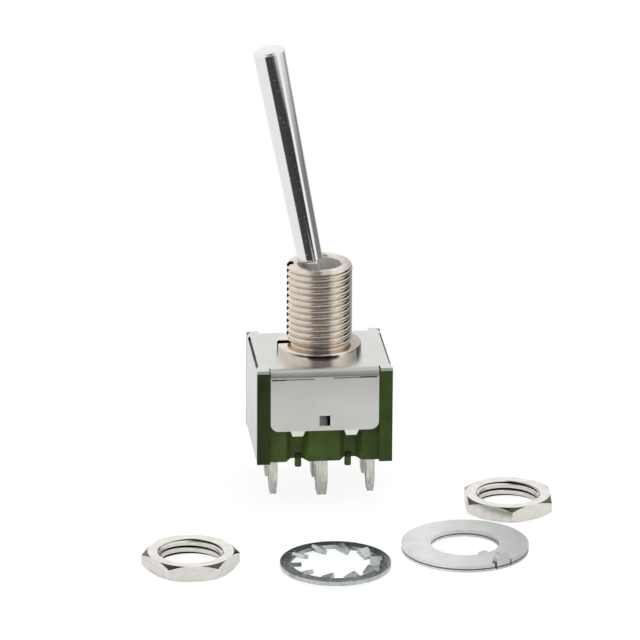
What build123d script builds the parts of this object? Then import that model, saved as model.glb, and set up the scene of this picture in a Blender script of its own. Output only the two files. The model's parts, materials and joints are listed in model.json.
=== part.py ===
from build123d import *
from math import asin, cos, radians, sin, sqrt, tan
import os

# Panel toggle switch, double pole, with its mounting hardware laid beside it.
# Millimetres. The origin is the centre of the panel seat, which is the top of
# the bushing's flange. +Z is up the bushing, -Y is the front, and the lever
# swings along X. The switch is stored thrown towards -X.

# Driving sizes: the body

body_length = 13.0
body_depth = 11.5
body_height = 9.5
sheet_thickness = 0.3
side_bend_radius = 0.35
flap_bend_radius = 0.75
terminal_length = 4.25

# Driving sizes: the bushing

thread_diameter = 6.35
bushing_height = 8.0
bushing_bore_diameter = 4.2
bushing_mouth_chamfer = 0.2
bushing_top_chamfer = 0.25
thread_pitch = 0.635
thread_groove_depth = 0.3
thread_groove_width = 0.5
thread_relief_diameter = 5.7
thread_relief_height = 0.45
flange_diameter = 8.1
flange_thickness = 0.9
flange_bevel = 0.15
spigot_diameter = 5.9
stake_diameter = 6.8
stake_height = 0.3
keyway_width = 0.9
keyway_depth = 0.62

# Driving sizes: the lever and what it carries

throw_angle = 22.0
pivot_height = 3.7
lever_reach = 26.1
lever_tip_diameter = 3.0
lever_base_diameter = 2.4
lever_base_gap = 0.55
lever_rim_chamfer = 0.25
lever_neck_diameter = 1.9
lever_boss_diameter = 3.5
lever_boss_height = 2.2
lever_shank_diameter = 1.5
lever_pin_diameter = 1.0
lever_pin_length = 5.1
shank_grip = 1.3

actuator_length = 4.0
actuator_headroom = 0.9
actuator_crown = 0.8
actuator_corner_chamfer = 0.4

plunger_diameter = 1.3
plunger_tip_diameter = 0.4
plunger_travel = 0.3
plunger_proud = 1.1
spring_length = 1.2
spring_coil_diameter = 0.9
spring_wire_diameter = 0.16
spring_turns = 2.0
spring_wire_facets = 4

# Driving sizes: the cover

flap_width = 10.4
flap_drop = 6.2
flap_setback = 0.05
flap_corner_radius = 0.8
tab_spacing = 5.15
tab_root_width = 1.4
tab_end_width = 1.0
tab_drop = 0.6
tab_lean = 20.0
latch_width = 1.04
latch_height = 1.05
latch_sill = 0.45
latch_lean = 30.0
side_corner_radius = 0.5
side_foot_gap = 0.1
bend_slot_length = 8.6
bend_slot_width = 0.22
bend_relief = 0.12
bend_overlap = 0.3

# Driving sizes: the case

column_recess = 0.6
column_lip = 0.35
side_wall = 0.6
floor_thickness = 1.45
case_side_chamfer = 0.2
case_front_chamfer = 0.3
groove_mouth_width = 2.13
groove_floor_width = 1.1
groove_back_wall = 0.55
groove_rise = 3.55
latch_pocket_margin = 0.12
latch_pocket_wall = 0.75
barrier_thickness = 0.6
barrier_height = 1.1
seal_depth = 0.5
seal_recess = 0.1
seal_margin = 0.25
peg_diameter = 0.65
peg_height = 0.85
peg_spacing = 4.8

# Driving sizes: terminals and contacts

terminal_pitch = 4.7
row_spacing = 4.8
blade_width = 2.0
end_blade_thickness = 0.8
centre_blade_thickness = 1.1
end_lug_shortness = 0.25
lug_taper_height = 1.5
lug_tip_width = 1.4
lug_tip_thinning = 0.2
lug_hole_width = 0.7
lug_hole_length = 1.6
lug_hole_rise = 1.25
foot_thickness = 0.45
foot_length = 1.9
contact_radius_from_axis = 3.9
fixed_contact_width = 1.3

rocker_tilt = 7.0
rocker_axis_rise = 1.2
rocker_seat_rise = 0.75
rocker_width = 2.0
rocker_thickness = 0.35
rocker_dish_half_length = 2.2
rocker_arm_height = 0.8
rocker_arm_start = 3.0
rocker_half_length = 4.55
rocker_cup_half_length = 0.8
rocker_nose_diameter = 0.7
rocker_contact_width = 1.2
rocker_contact_height = 0.4

# Driving sizes: mounting hardware

nut_across_flats = 8.0
nut_thickness = 1.5
nut_bore_diameter = 6.4
nut_corner_chamfer = 0.32
nut_chamfer_angle = 30.0
lock_washer_diameter = 10.4
lock_washer_band = 1.0
lock_washer_thickness = 0.4
lock_washer_inner_diameter = 6.5
lock_washer_tooth_width = 1.15
lock_washer_tooth_gap = 0.5
lock_washer_teeth = 10
lock_washer_twist = 22.0
locking_ring_diameter = 12.0
locking_ring_bore_diameter = 6.5
locking_ring_thickness = 0.65
locking_ring_tab_width = 1.55
locking_ring_tab_height = 0.9
locking_ring_tab_relief = 0.2
locking_ring_turn = -60.0

left_nut_place = (-14.1, -20.5)
left_nut_turn = -1.0
right_nut_place = (17.45, -7.95)
right_nut_turn = 28.0
lock_washer_place = (-0.65, -22.1)
locking_ring_place = (12.0, -18.5)

# Clearances

running_clearance = 0.04
seat_clearance = 0.02
plunger_gap = 0.1
contact_gap = 0.05
cavity_clearance = 0.2
peg_clearance = 0.025
key_clearance = 0.05
column_clearance = 0.05
pin_end_clearance = 0.1

# Levels and places that follow

rest_tilt = throw_angle / 2
cover_top = -flange_thickness
cover_under = cover_top - sheet_thickness
case_top = cover_under
case_bottom = cover_top - body_height
floor_level = case_bottom - terminal_length
cavity_floor = case_bottom + floor_thickness
half_length = body_length / 2
half_depth = body_depth / 2
case_half_length = half_length - sheet_thickness
case_half_depth = half_depth - column_recess
cavity_half_length = case_half_length - side_wall
flap_half_width = flap_width / 2
flap_bottom = cover_top - flap_drop
side_half_width = half_depth - column_lip - column_clearance
row_y = row_spacing / 2
row_reach = row_y + blade_width / 2
cavity_half_depth = row_reach + cavity_clearance
end_wall = case_half_depth - cavity_half_depth
groove_depth = end_wall - groove_back_wall
latch_pocket_depth = end_wall - latch_pocket_wall
peg_y = row_reach + seal_margin + peg_clearance + peg_diameter / 2
stake_bottom = cover_under - stake_height
rocker_axis_z = cavity_floor + rocker_axis_rise
rocker_axis_drop = pivot_height - rocker_axis_z
plunger_radius = plunger_diameter / 2
plunger_bore_radius = plunger_radius + running_clearance
plunger_tip_drop = rocker_axis_drop - rocker_seat_rise - plunger_gap
tip_centre_drop = plunger_tip_drop - plunger_radius
actuator_bottom_drop = plunger_tip_drop - plunger_proud
actuator_top_drop = pivot_height - stake_bottom + actuator_headroom
actuator_half_depth = cavity_half_depth - cavity_clearance
spring_top_drop = actuator_top_drop + actuator_crown
plunger_top_drop = spring_top_drop + spring_length
rocker_nose_radius = rocker_nose_diameter / 2
rocker_cup_radius = rocker_nose_radius + running_clearance


def block(x_low, x_high, y_low, y_high, z_low, z_high):
    """A box between two corners."""
    middle = Pos((x_low + x_high) / 2, (y_low + y_high) / 2, (z_low + z_high) / 2)
    return middle * Box(x_high - x_low, y_high - y_low, z_high - z_low)


def centred_block(half_x, half_y, z_low, z_high):
    """A box about the Z axis between two levels."""
    return block(-half_x, half_x, -half_y, half_y, z_low, z_high)


def rod(radius, z_low, z_high):
    """A cylinder on the Z axis between two levels."""
    return Pos(0, 0, (z_low + z_high) / 2) * Cylinder(radius, z_high - z_low)


def turned(points):
    """A solid turned about the Z axis from a closed outline of radius and height."""
    outline = make_face(Polyline(*points, close=True))
    return revolve(Plane.XZ * outline, Axis.Z)


def prism(points, z_low, z_high):
    """A solid that stands on a closed outline in plan."""
    outline = Pos(0, 0, z_low) * make_face(Polyline(*points, close=True))
    return extrude(outline, z_high - z_low)


def on_lever(part):
    """Move a part from the lever's own axes, with the pivot at the origin, to its rest."""
    return Pos(0, 0, pivot_height) * Rot(0, -rest_tilt, 0) * part


def on_rocker(part, row):
    """Move a part from a rocker's own axes, level about its pivot, to its rest."""
    return Pos(0, row * row_y, rocker_axis_z) * Rot(0, rocker_tilt, 0) * part


# The bushing: threaded barrel, flange and staked spigot in one turned piece

def make_thread_groove(low):
    """The ring that one V groove of the thread takes out of the barrel, above a level."""
    crest_r = thread_diameter / 2
    middle = low + thread_groove_width / 2
    return turned([
        (crest_r + 1, low),
        (crest_r, low),
        (crest_r - thread_groove_depth, middle),
        (crest_r, low + thread_groove_width),
        (crest_r + 1, low + thread_groove_width),
    ])


def make_bushing():
    """Barrel with keyway, flange, spigot, and the slots that seat the lever's pin."""
    thread_r = thread_diameter / 2
    bore_r = bushing_bore_diameter / 2
    flange_r = flange_diameter / 2
    relief_r = thread_relief_diameter / 2
    spigot_r = spigot_diameter / 2
    stake_r = stake_diameter / 2
    mouth_r = bore_r + bushing_mouth_chamfer
    relief_slope = thread_r - relief_r
    body = turned([
        (bore_r, stake_bottom),
        (stake_r, stake_bottom),
        (stake_r, cover_under),
        (spigot_r, cover_under),
        (spigot_r, cover_top),
        (flange_r, cover_top),
        (flange_r, -flange_bevel),
        (flange_r - flange_bevel, 0),
        (relief_r, 0),
        (relief_r, thread_relief_height - relief_slope),
        (thread_r, thread_relief_height),
        (thread_r, bushing_height - bushing_top_chamfer),
        (thread_r - bushing_top_chamfer, bushing_height),
        (mouth_r, bushing_height),
        (bore_r, bushing_height - bushing_mouth_chamfer),
    ])
    crest_width = thread_pitch - thread_groove_width
    lowest_groove = thread_relief_height + crest_width
    highest_groove = bushing_height - bushing_top_chamfer - crest_width
    groove_count = int((highest_groove - lowest_groove + crest_width) / thread_pitch)
    for index in range(groove_count):
        body -= make_thread_groove(lowest_groove + index * thread_pitch)
    keyway_floor = thread_r - keyway_depth
    keyway_half = keyway_width / 2
    body -= block(-flange_r - 1, -keyway_floor, -keyway_half, keyway_half, cover_top, bushing_height + 1)
    slot_r = lever_pin_diameter / 2 + running_clearance
    slot_reach = lever_pin_length / 2 + pin_end_clearance
    body -= block(-slot_r, slot_r, -slot_reach, slot_reach, stake_bottom - 1, pivot_height)
    body -= Pos(0, 0, pivot_height) * Rot(90, 0, 0) * Cylinder(slot_r, 2 * slot_reach)
    return body


# The lever, its pin, and the block, springs and plungers that swing with it

def make_lever():
    """Tapered handle, neck, boss and shank in one turned piece with a cross hole."""
    base_start = bushing_height - pivot_height + lever_base_gap
    neck_r = lever_neck_diameter / 2
    base_r = lever_base_diameter / 2
    tip_r = lever_tip_diameter / 2
    boss_r = lever_boss_diameter / 2
    boss_half = lever_boss_height / 2
    shank_r = lever_shank_diameter / 2
    shank_end = -actuator_top_drop - shank_grip
    neck_fillet = base_r - neck_r
    handle = turned([
        (0, shank_end),
        (shank_r, shank_end),
        (shank_r, -boss_half),
        (boss_r, -boss_half),
        (boss_r, boss_half),
        (neck_r, boss_half),
        (neck_r, base_start - neck_fillet / 2),
        (base_r, base_start),
        (tip_r, lever_reach - lever_rim_chamfer),
        (tip_r - lever_rim_chamfer, lever_reach),
        (0, lever_reach),
    ])
    cross_hole = Rot(90, 0, 0) * Cylinder(lever_pin_diameter / 2 + seat_clearance / 2, 2 * lever_boss_diameter)
    return on_lever(handle - cross_hole)


def make_lever_pin():
    """Cross pin that is the lever's pivot."""
    pin = Rot(90, 0, 0) * Cylinder(lever_pin_diameter / 2, lever_pin_length)
    return on_lever(pin)


def make_actuator():
    """Moulded block on the lever's shank, with a blind bore for each plunger."""
    half_x = actuator_length / 2
    body = centred_block(half_x, actuator_half_depth, -actuator_bottom_drop, -actuator_top_drop)
    body = chamfer(body.edges().filter_by(Axis.Z), actuator_corner_chamfer)
    socket_r = lever_shank_diameter / 2 + seat_clearance / 2
    body -= rod(socket_r, -actuator_top_drop - shank_grip - seat_clearance, -actuator_top_drop + 1)
    for row in (-1, 1):
        bore = rod(plunger_bore_radius, -actuator_bottom_drop - 1, -spring_top_drop)
        body -= Pos(0, row * row_y, 0) * bore
    return on_lever(body)


def make_plunger(row):
    """Blunt-nosed pin that rides on the rocker."""
    pin = turned([
        (0, -plunger_tip_drop),
        (plunger_tip_diameter / 2, -plunger_tip_drop),
        (plunger_radius, -tip_centre_drop),
        (plunger_radius, -plunger_top_drop),
        (0, -plunger_top_drop),
    ])
    return on_lever(Pos(0, row * row_y, 0) * pin)


def make_spring(row):
    """Coil spring between the block and a plunger."""
    wire_r = spring_wire_diameter / 2
    coil_r = spring_coil_diameter / 2 - wire_r
    rise = spring_length - spring_wire_diameter
    path = Helix(rise / spring_turns, rise, coil_r)
    start = Plane(origin=path @ 0, z_dir=path % 0)
    coil = sweep(start * RegularPolygon(wire_r, spring_wire_facets), path)
    return on_lever(Pos(0, row * row_y, -plunger_top_drop + wire_r) * coil)


# The cover: one piece of sheet, folded down on four sides

def bent_leaf(length, drop, radius):
    """A strip that runs out along +X, turns down and hangs, with its outer face at x = 0."""
    run = radius + bend_overlap
    section = make_face(Polyline(
        (-run, 0),
        (0, 0),
        (0, -drop),
        (-sheet_thickness, -drop),
        (-sheet_thickness, -sheet_thickness),
        (-run, -sheet_thickness),
        close=True,
    ))
    outer_corner = section.vertices().sort_by_distance((0, 0))[0]
    section = fillet(outer_corner, radius)
    inner_corner = section.vertices().sort_by_distance((-sheet_thickness, -sheet_thickness))[0]
    section = fillet(inner_corner, radius - sheet_thickness)
    return extrude(Plane.XZ * section, length / 2, both=True)


def leaning_strip(length, lean):
    """A strip hung from a flat sheet and bent back by a lean, its root level at z = 0, cut in XZ."""
    root = sheet_thickness
    sway = sin(radians(lean))
    fall = cos(radians(lean))
    heel = sheet_thickness * tan(radians(lean) / 2)
    section = make_face(Polyline(
        (-sheet_thickness, root),
        (0, root),
        (0, 0),
        (-length * sway, -length * fall),
        (-length * sway - sheet_thickness * fall, -length * fall + sheet_thickness * sway),
        (-sheet_thickness, heel),
        close=True,
    ))
    return extrude(Plane.XZ * section, tab_root_width, both=True)


def make_flap():
    """The front fold, with two crimp tabs and a lanced latch, facing +X."""
    flap = bent_leaf(flap_width, flap_drop, flap_bend_radius)
    corners = flap.edges().filter_by(Axis.X).group_by(Axis.Z)[0]
    flap = fillet(corners, flap_corner_radius)
    root_half = tab_root_width / 2
    end_half = tab_end_width / 2
    tab_outline = make_face(Polyline(
        (-root_half, sheet_thickness),
        (root_half, sheet_thickness),
        (root_half, 0),
        (end_half, -tab_drop),
        (-end_half, -tab_drop),
        (-root_half, 0),
        close=True,
    ))
    tab = leaning_strip(tab_drop * 2, tab_lean) & extrude(Plane.YZ * tab_outline, 1, both=True)
    for side in (-1, 1):
        flap += Pos(0, side * tab_spacing / 2, -flap_drop) * tab
    half = latch_width / 2
    sill = -flap_drop + latch_sill
    flap -= block(-2 * sheet_thickness, 1, -half, half, sill, sill + latch_height)
    tongue = Rot(180, 0, 0) * leaning_strip(latch_height, latch_lean)
    tongue_half = half - seat_clearance
    tongue &= block(-1, 1, -tongue_half, tongue_half, -sheet_thickness, latch_height)
    return flap + Pos(0, 0, sill) * tongue


def make_side():
    """The plain side fold, facing +X."""
    drop = body_height - side_foot_gap
    side = bent_leaf(2 * side_half_width, drop, side_bend_radius)
    corners = side.edges().filter_by(Axis.X).group_by(Axis.Z)[0]
    return fillet(corners, side_corner_radius)


def make_cover():
    """Top plate with square corners over the case's columns, two flaps and two sides."""
    cover = centred_block(half_length, half_depth, cover_under, cover_top)
    flat_x = half_length - side_bend_radius
    flat_y = half_depth - flap_bend_radius - flap_setback
    side_reach = side_half_width + bend_relief
    flap_reach = flap_half_width + bend_relief
    side = Pos(half_length, 0, cover_top) * make_side()
    flap = Pos(half_depth - flap_setback, 0, cover_top) * make_flap()
    cover -= centred_block(half_length + 1, side_reach, cover_under - 1, cover_top + 1) - centred_block(
        flat_x, half_depth, cover_under - 1, cover_top + 1)
    cover -= centred_block(flap_reach, half_depth + 1, cover_under - 1, cover_top + 1) - centred_block(
        half_length, flat_y, cover_under - 1, cover_top + 1)
    cover += [side, Rot(0, 0, 180) * side, Rot(0, 0, 90) * flap, Rot(0, 0, -90) * flap]
    slot_half = bend_slot_length / 2
    slot_low = cover_top - bend_slot_width
    for x_side in (-1, 1):
        slot_x = sorted((x_side * (half_length - bend_slot_width), x_side * (half_length + 1)))
        cover -= block(*slot_x, -slot_half, slot_half, slot_low, cover_top + 1)
    cover -= rod(spigot_diameter / 2, cover_under - 1, cover_top + 1)
    return cover


# The case: a moulded cup with corner columns, grooves, pegs and a blade slot at each terminal

def make_groove():
    """The tapered channel that a crimp tab tucks into, cut from the front face inwards."""
    mouth_half = groove_mouth_width / 2
    back_half = groove_floor_width / 2
    front = -case_half_depth
    outline = [
        (-mouth_half, front - 1),
        (mouth_half, front - 1),
        (mouth_half, front),
        (back_half, front + groove_depth),
        (-back_half, front + groove_depth),
        (-mouth_half, front),
    ]
    return prism(outline, case_bottom - 1, case_bottom + groove_rise)


def make_peg():
    """A plain stud under the case."""
    return rod(peg_diameter / 2, case_bottom - peg_height, case_bottom + seal_depth)


def terminal_slots():
    """The six blade slots through the case's floor."""
    half_y = blade_width / 2 + seat_clearance
    slots = []
    for row in (-1, 1):
        for column in (-1, 0, 1):
            thickness = end_blade_thickness if column else centre_blade_thickness
            half_x = thickness / 2 + seat_clearance
            slot = centred_block(half_x, half_y, case_bottom - 1, cavity_floor + 1)
            slots.append(Pos(column * terminal_pitch, row * row_y, 0) * slot)
    return slots


def seal_block(z_low, z_high):
    """The shape of the potted pocket under the floor."""
    reach_x = terminal_pitch + end_blade_thickness / 2 + seal_margin
    reach_y = row_reach + seal_margin
    return centred_block(reach_x, reach_y, z_low, z_high)


def make_case():
    """Moulded case."""
    case = centred_block(case_half_length, case_half_depth, case_bottom, case_top)
    side_tops = case.edges().filter_by(Axis.Y).group_by(Axis.Z)[-1]
    case = chamfer(side_tops, case_side_chamfer)
    front_tops = case.edges().filter_by(Axis.X).group_by(Axis.Z)[-1]
    case = chamfer(front_tops, case_front_chamfer)
    column_inner = flap_half_width + column_clearance
    for x_side in (-1, 1):
        for y_side in (-1, 1):
            rear = case_half_depth - column_recess
            foot_x = sorted((x_side * column_inner, x_side * case_half_length))
            foot_y = sorted((y_side * rear, y_side * half_depth))
            case += block(*foot_x, *foot_y, case_bottom, case_top)
            lip_x = sorted((x_side * column_inner, x_side * half_length))
            lip_y = sorted((y_side * (half_depth - column_lip), y_side * half_depth))
            case += block(*lip_x, *lip_y, case_bottom, case_top)
    groove = make_groove()
    for side in (-1, 1):
        placed = Pos(side * tab_spacing / 2, 0, 0) * groove
        case -= [placed, Rot(0, 0, 180) * placed]
    pocket_half = latch_width / 2 + latch_pocket_margin
    pocket_low = flap_bottom + latch_sill - latch_pocket_margin
    pocket_high = flap_bottom + latch_sill + latch_height + latch_pocket_margin
    for y_side in (-1, 1):
        inner = y_side * (case_half_depth - latch_pocket_depth)
        pocket_y = sorted((inner, y_side * (case_half_depth + 1)))
        case -= block(-pocket_half, pocket_half, *pocket_y, pocket_low, pocket_high)
    case -= centred_block(cavity_half_length, cavity_half_depth, cavity_floor, case_top + 1)
    case -= seal_block(case_bottom - 1, case_bottom + seal_depth)
    case -= terminal_slots()
    barrier_half = barrier_thickness / 2
    case += centred_block(cavity_half_length, barrier_half, cavity_floor, cavity_floor + barrier_height)
    peg = make_peg()
    for x_side in (-1, 1):
        for y_side in (-1, 1):
            case += Pos(x_side * peg_spacing / 2, y_side * peg_y, 0) * peg
    return case


# The terminals, contacts and seal

def tapered_outline(half, half_tip, z_tip, z_high):
    """A strip's outline that narrows to its tip."""
    taper_top = z_tip + lug_taper_height
    return make_face(Polyline(
        (-half_tip, z_tip),
        (half_tip, z_tip),
        (half, taper_top),
        (half, z_high),
        (-half, z_high),
        (-half, taper_top),
        close=True,
    ))


def lug_blade(thickness, z_tip, z_high):
    """A solder lug with a tip tapered both ways and an oblong hole, up to a level."""
    side_view = tapered_outline(blade_width / 2, lug_tip_width / 2, z_tip, z_high)
    front_view = tapered_outline(thickness / 2, thickness / 2 - lug_tip_thinning / 2, z_tip, z_high)
    hole = Pos(0, z_tip + lug_hole_rise + lug_hole_length / 2) * Rot(0, 0, 90) * SlotOverall(
        lug_hole_length, lug_hole_width)
    blade = extrude(Plane.YZ * (side_view - hole), thickness / 2, both=True)
    return blade & extrude(Plane.XZ * front_view, blade_width, both=True)


def make_end_terminal(column, row):
    """Lug whose inner end turns inwards over the floor to carry a fixed contact."""
    foot_top = cavity_floor + foot_thickness
    blade = lug_blade(end_blade_thickness, floor_level + end_lug_shortness, foot_top)
    outer = end_blade_thickness / 2
    foot = block(outer - foot_length, outer, -blade_width / 2, blade_width / 2, cavity_floor, foot_top)
    terminal = Pos(terminal_pitch, 0, 0) * (blade + foot)
    if column < 0:
        terminal = Rot(0, 0, 180) * terminal
    return Pos(0, row * row_y, 0) * terminal


def make_centre_terminal(row):
    """Lug whose inner end is narrowed to the round nose that the rocker tips on."""
    blade = lug_blade(centre_blade_thickness, floor_level, cavity_floor)
    nose_half_width = blade_width / 2
    stem = centred_block(rocker_nose_radius, nose_half_width, cavity_floor, rocker_axis_z)
    nose = Pos(0, 0, rocker_axis_z) * Rot(90, 0, 0) * Cylinder(rocker_nose_radius, blade_width)
    return Pos(0, row * row_y, 0) * (blade + stem + nose)


def closed_contact_height():
    """The level that the lower edge of a rocker's contact reaches when it is closed."""
    low = rocker_arm_height - rocker_thickness - rocker_contact_height
    reach = contact_radius_from_axis + rocker_contact_width / 2
    tilt = radians(rocker_tilt)
    return rocker_axis_z + low * cos(tilt) - reach * sin(tilt)


def make_fixed_contact(column, row):
    """Square silver pad on an end terminal's foot."""
    top = closed_contact_height() - contact_gap
    half = fixed_contact_width / 2
    pad = centred_block(half, half, cavity_floor + foot_thickness, top)
    return Pos(column * contact_radius_from_axis, row * row_y, 0) * pad


def dish_radius():
    """Radius of the rocker's dish that keeps an even gap under the plunger's swing."""
    swing = radians(rest_tilt)
    tilt = radians(rocker_tilt)
    side = tip_centre_drop * sin(swing)
    up = rocker_axis_drop - tip_centre_drop * cos(swing)
    across = side * cos(tilt) - up * sin(tilt)
    rise = side * sin(tilt) + up * cos(tilt) - (rocker_axis_drop - tip_centre_drop)
    path = (across ** 2 + rise ** 2) / (2 * rise)
    return path + plunger_radius + plunger_gap


def make_rocker(row):
    """See-saw strip: a dish for the plunger, an arm each side and a cup for the nose."""
    top = rocker_seat_rise
    dish_r = dish_radius()
    centre = top + dish_r
    edge = rocker_dish_half_length
    edge_top = centre - sqrt(dish_r ** 2 - edge ** 2)
    under_r = dish_r + rocker_thickness
    edge_angle = asin(edge / dish_r)
    edge_under = (under_r * sin(edge_angle), centre - under_r * cos(edge_angle))
    arm_under = rocker_arm_height - rocker_thickness
    end = rocker_half_length
    over = Curve() + [
        Line((-end, rocker_arm_height), (-rocker_arm_start, rocker_arm_height)),
        Line((-rocker_arm_start, rocker_arm_height), (-edge, edge_top)),
        ThreePointArc((-edge, edge_top), (0, top), (edge, edge_top)),
        Line((edge, edge_top), (rocker_arm_start, rocker_arm_height)),
        Line((rocker_arm_start, rocker_arm_height), (end, rocker_arm_height)),
        Line((end, rocker_arm_height), (end, arm_under)),
        Line((end, arm_under), (rocker_arm_start, arm_under)),
        Line((rocker_arm_start, arm_under), edge_under),
        ThreePointArc(edge_under, (0, top - rocker_thickness), (-edge_under[0], edge_under[1])),
        Line((-edge_under[0], edge_under[1]), (-rocker_arm_start, arm_under)),
        Line((-rocker_arm_start, arm_under), (-end, arm_under)),
        Line((-end, arm_under), (-end, rocker_arm_height)),
    ]
    strip = extrude(Plane.XZ * make_face(over), rocker_width / 2, both=True)
    cup_top = top - rocker_thickness / 2
    cup = centred_block(rocker_cup_half_length, rocker_width / 2, 0, cup_top)
    body = strip + cup
    body -= Rot(90, 0, 0) * Cylinder(rocker_cup_radius, 2 * rocker_width)
    return on_rocker(body, row)


def make_rocker_contact(column, row):
    """Square silver contact under one of a rocker's arms."""
    arm_under = rocker_arm_height - rocker_thickness
    half = rocker_contact_width / 2
    pad = centred_block(half, half, arm_under - rocker_contact_height, arm_under)
    return on_rocker(Pos(column * contact_radius_from_axis, 0, 0) * pad, row)


def make_seal():
    """Potting that fills the pocket round the blades."""
    seal = seal_block(case_bottom + seal_recess, case_bottom + seal_depth)
    return seal - terminal_slots()


# The mounting hardware, laid on the level that the terminals stand on

def laid(part, place, turn=0.0):
    """Set a piece down on the floor at a place, turned in plan."""
    return Pos(place[0], place[1], floor_level) * Rot(0, 0, turn) * part


def make_nut(place, turn):
    """Thin hex nut, chamfered both sides."""
    half_flats = nut_across_flats / 2
    body = extrude(RegularPolygon(half_flats, 6, major_radius=False), nut_thickness)
    corner_r = body.bounding_box().max.X
    bore_r = nut_bore_diameter / 2
    top = nut_thickness
    limit_r = corner_r - nut_corner_chamfer / tan(radians(nut_chamfer_angle))
    round_edge = turned([
        (bore_r, 0),
        (limit_r, 0),
        (corner_r, nut_corner_chamfer),
        (corner_r, top - nut_corner_chamfer),
        (limit_r, top),
        (bore_r, top),
    ])
    return laid(body & round_edge, place, turn)


def make_lock_washer():
    """Ring with twisted teeth that point inwards."""
    outer_r = lock_washer_diameter / 2
    inner_r = outer_r - lock_washer_band
    tip_r = lock_washer_inner_diameter / 2
    half = lock_washer_thickness / 2
    tooth_half = lock_washer_tooth_width / 2
    lift = tooth_half * sin(radians(lock_washer_twist)) + half * cos(radians(lock_washer_twist))
    ring = rod(outer_r, -half, half) - rod(inner_r, -1, 1)
    tooth = block(tip_r, inner_r + half, -tooth_half, tooth_half, -half, half)
    tooth = Rot(lock_washer_twist, 0, 0) * tooth
    for index in range(lock_washer_teeth):
        ring += Rot(0, 0, index * 360 / lock_washer_teeth) * tooth
    return laid(Pos(0, 0, lift) * ring, lock_washer_place)


def make_locking_ring():
    """Flat ring with an inward key and a tab turned up at the rim."""
    outer_r = locking_ring_diameter / 2
    bore_r = locking_ring_bore_diameter / 2
    key_half = keyway_width / 2 - key_clearance
    key_tip = thread_diameter / 2 - keyway_depth + key_clearance
    top = locking_ring_thickness
    tab_half = locking_ring_tab_width / 2
    tab_root = outer_r - locking_ring_thickness
    ring = rod(outer_r, 0, top) - rod(bore_r, -1, top + 1)
    ring += block(key_tip, bore_r + top, -key_half, key_half, 0, top)
    relief_half = tab_half + locking_ring_tab_relief
    ring -= block(tab_root, outer_r + 1, -relief_half, relief_half, -1, top + 1)
    tab = block(tab_root - top, outer_r, -tab_half, tab_half, 0, top)
    tab += block(tab_root, outer_r, -tab_half, tab_half, 0, top + locking_ring_tab_height)
    crown = tab.edges().filter_by(Axis.X).group_by(Axis.Z)[-1]
    ring += fillet(crown, tab_half * 0.8)
    return laid(ring, locking_ring_place, locking_ring_turn)


def make_all():
    """Every piece by its node's name."""
    parts = {
        "threaded_bushing": make_bushing(),
        "cover_frame": make_cover(),
        "switch_case": make_case(),
        "terminal_seal": make_seal(),
        "toggle_lever": make_lever(),
        "lever_pin": make_lever_pin(),
        "actuator_block": make_actuator(),
    }
    for row_name, row in (("front", -1), ("rear", 1)):
        parts[f"plunger_{row_name}"] = make_plunger(row)
        parts[f"spring_{row_name}"] = make_spring(row)
        parts[f"rocker_{row_name}"] = make_rocker(row)
        parts[f"terminal_{row_name}_centre"] = make_centre_terminal(row)
        for side_name, column in (("left", -1), ("right", 1)):
            parts[f"terminal_{row_name}_{side_name}"] = make_end_terminal(column, row)
            parts[f"fixed_contact_{row_name}_{side_name}"] = make_fixed_contact(column, row)
            parts[f"rocker_contact_{row_name}_{side_name}"] = make_rocker_contact(column, row)
    parts["hex_nut_left"] = make_nut(left_nut_place, left_nut_turn)
    parts["hex_nut_right"] = make_nut(right_nut_place, right_nut_turn)
    parts["lock_washer"] = make_lock_washer()
    parts["locking_ring"] = make_locking_ring()
    return parts


os.makedirs("parts", exist_ok=True)
for node, piece in make_all().items():
    export_step(piece, f"parts/{node}.step")
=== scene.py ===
"""Looks of a panel toggle switch and its loose mounting hardware.

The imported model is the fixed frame. Each operator finishes one piece or one
group of like pieces, and the last one sets the stage. Sizes are written in
millimetres and MM turns them to metres. The floor, the lamps and the camera
are placed in metres. Light and shade that follow the photograph are painted
at their place on a piece, in Object coordinates.
"""

import json
from math import cos, pi, radians, sin, sqrt

import bmesh
import bpy
from bpy.props import FloatProperty, FloatVectorProperty, IntProperty, PointerProperty
from bpy.types import Operator, Panel, PropertyGroup
from mathutils import Matrix, Vector


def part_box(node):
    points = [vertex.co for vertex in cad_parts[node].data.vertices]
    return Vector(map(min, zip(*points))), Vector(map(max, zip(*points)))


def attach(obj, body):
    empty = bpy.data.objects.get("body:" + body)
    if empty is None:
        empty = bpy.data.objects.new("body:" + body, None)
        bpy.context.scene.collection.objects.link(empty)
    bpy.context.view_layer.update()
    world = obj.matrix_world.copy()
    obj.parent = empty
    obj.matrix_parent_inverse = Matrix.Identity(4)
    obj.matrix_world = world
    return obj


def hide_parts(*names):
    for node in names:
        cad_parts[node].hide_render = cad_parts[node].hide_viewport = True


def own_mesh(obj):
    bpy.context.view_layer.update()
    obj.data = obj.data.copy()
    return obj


bl_info = {
    "name": "Panel toggle switch looks",
    "version": (1, 0, 0),
    "blender": (4, 5, 0),
    "location": "View3D > Sidebar > Toggle Switch",
    "description": "Finishes a panel toggle switch and the hardware it is mounted with",
    "category": "Object",
}

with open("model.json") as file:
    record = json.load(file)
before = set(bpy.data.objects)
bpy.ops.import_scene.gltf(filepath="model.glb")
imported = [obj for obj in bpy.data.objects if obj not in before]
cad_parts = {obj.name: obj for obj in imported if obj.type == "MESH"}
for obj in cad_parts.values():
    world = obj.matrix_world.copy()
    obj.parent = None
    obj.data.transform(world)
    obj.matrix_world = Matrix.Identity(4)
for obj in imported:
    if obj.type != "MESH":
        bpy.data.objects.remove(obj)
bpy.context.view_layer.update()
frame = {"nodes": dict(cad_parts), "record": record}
MM = 0.001
FLOOR_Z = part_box("hex_nut_left")[0][2]
FLOOR = FLOOR_Z / MM

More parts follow.
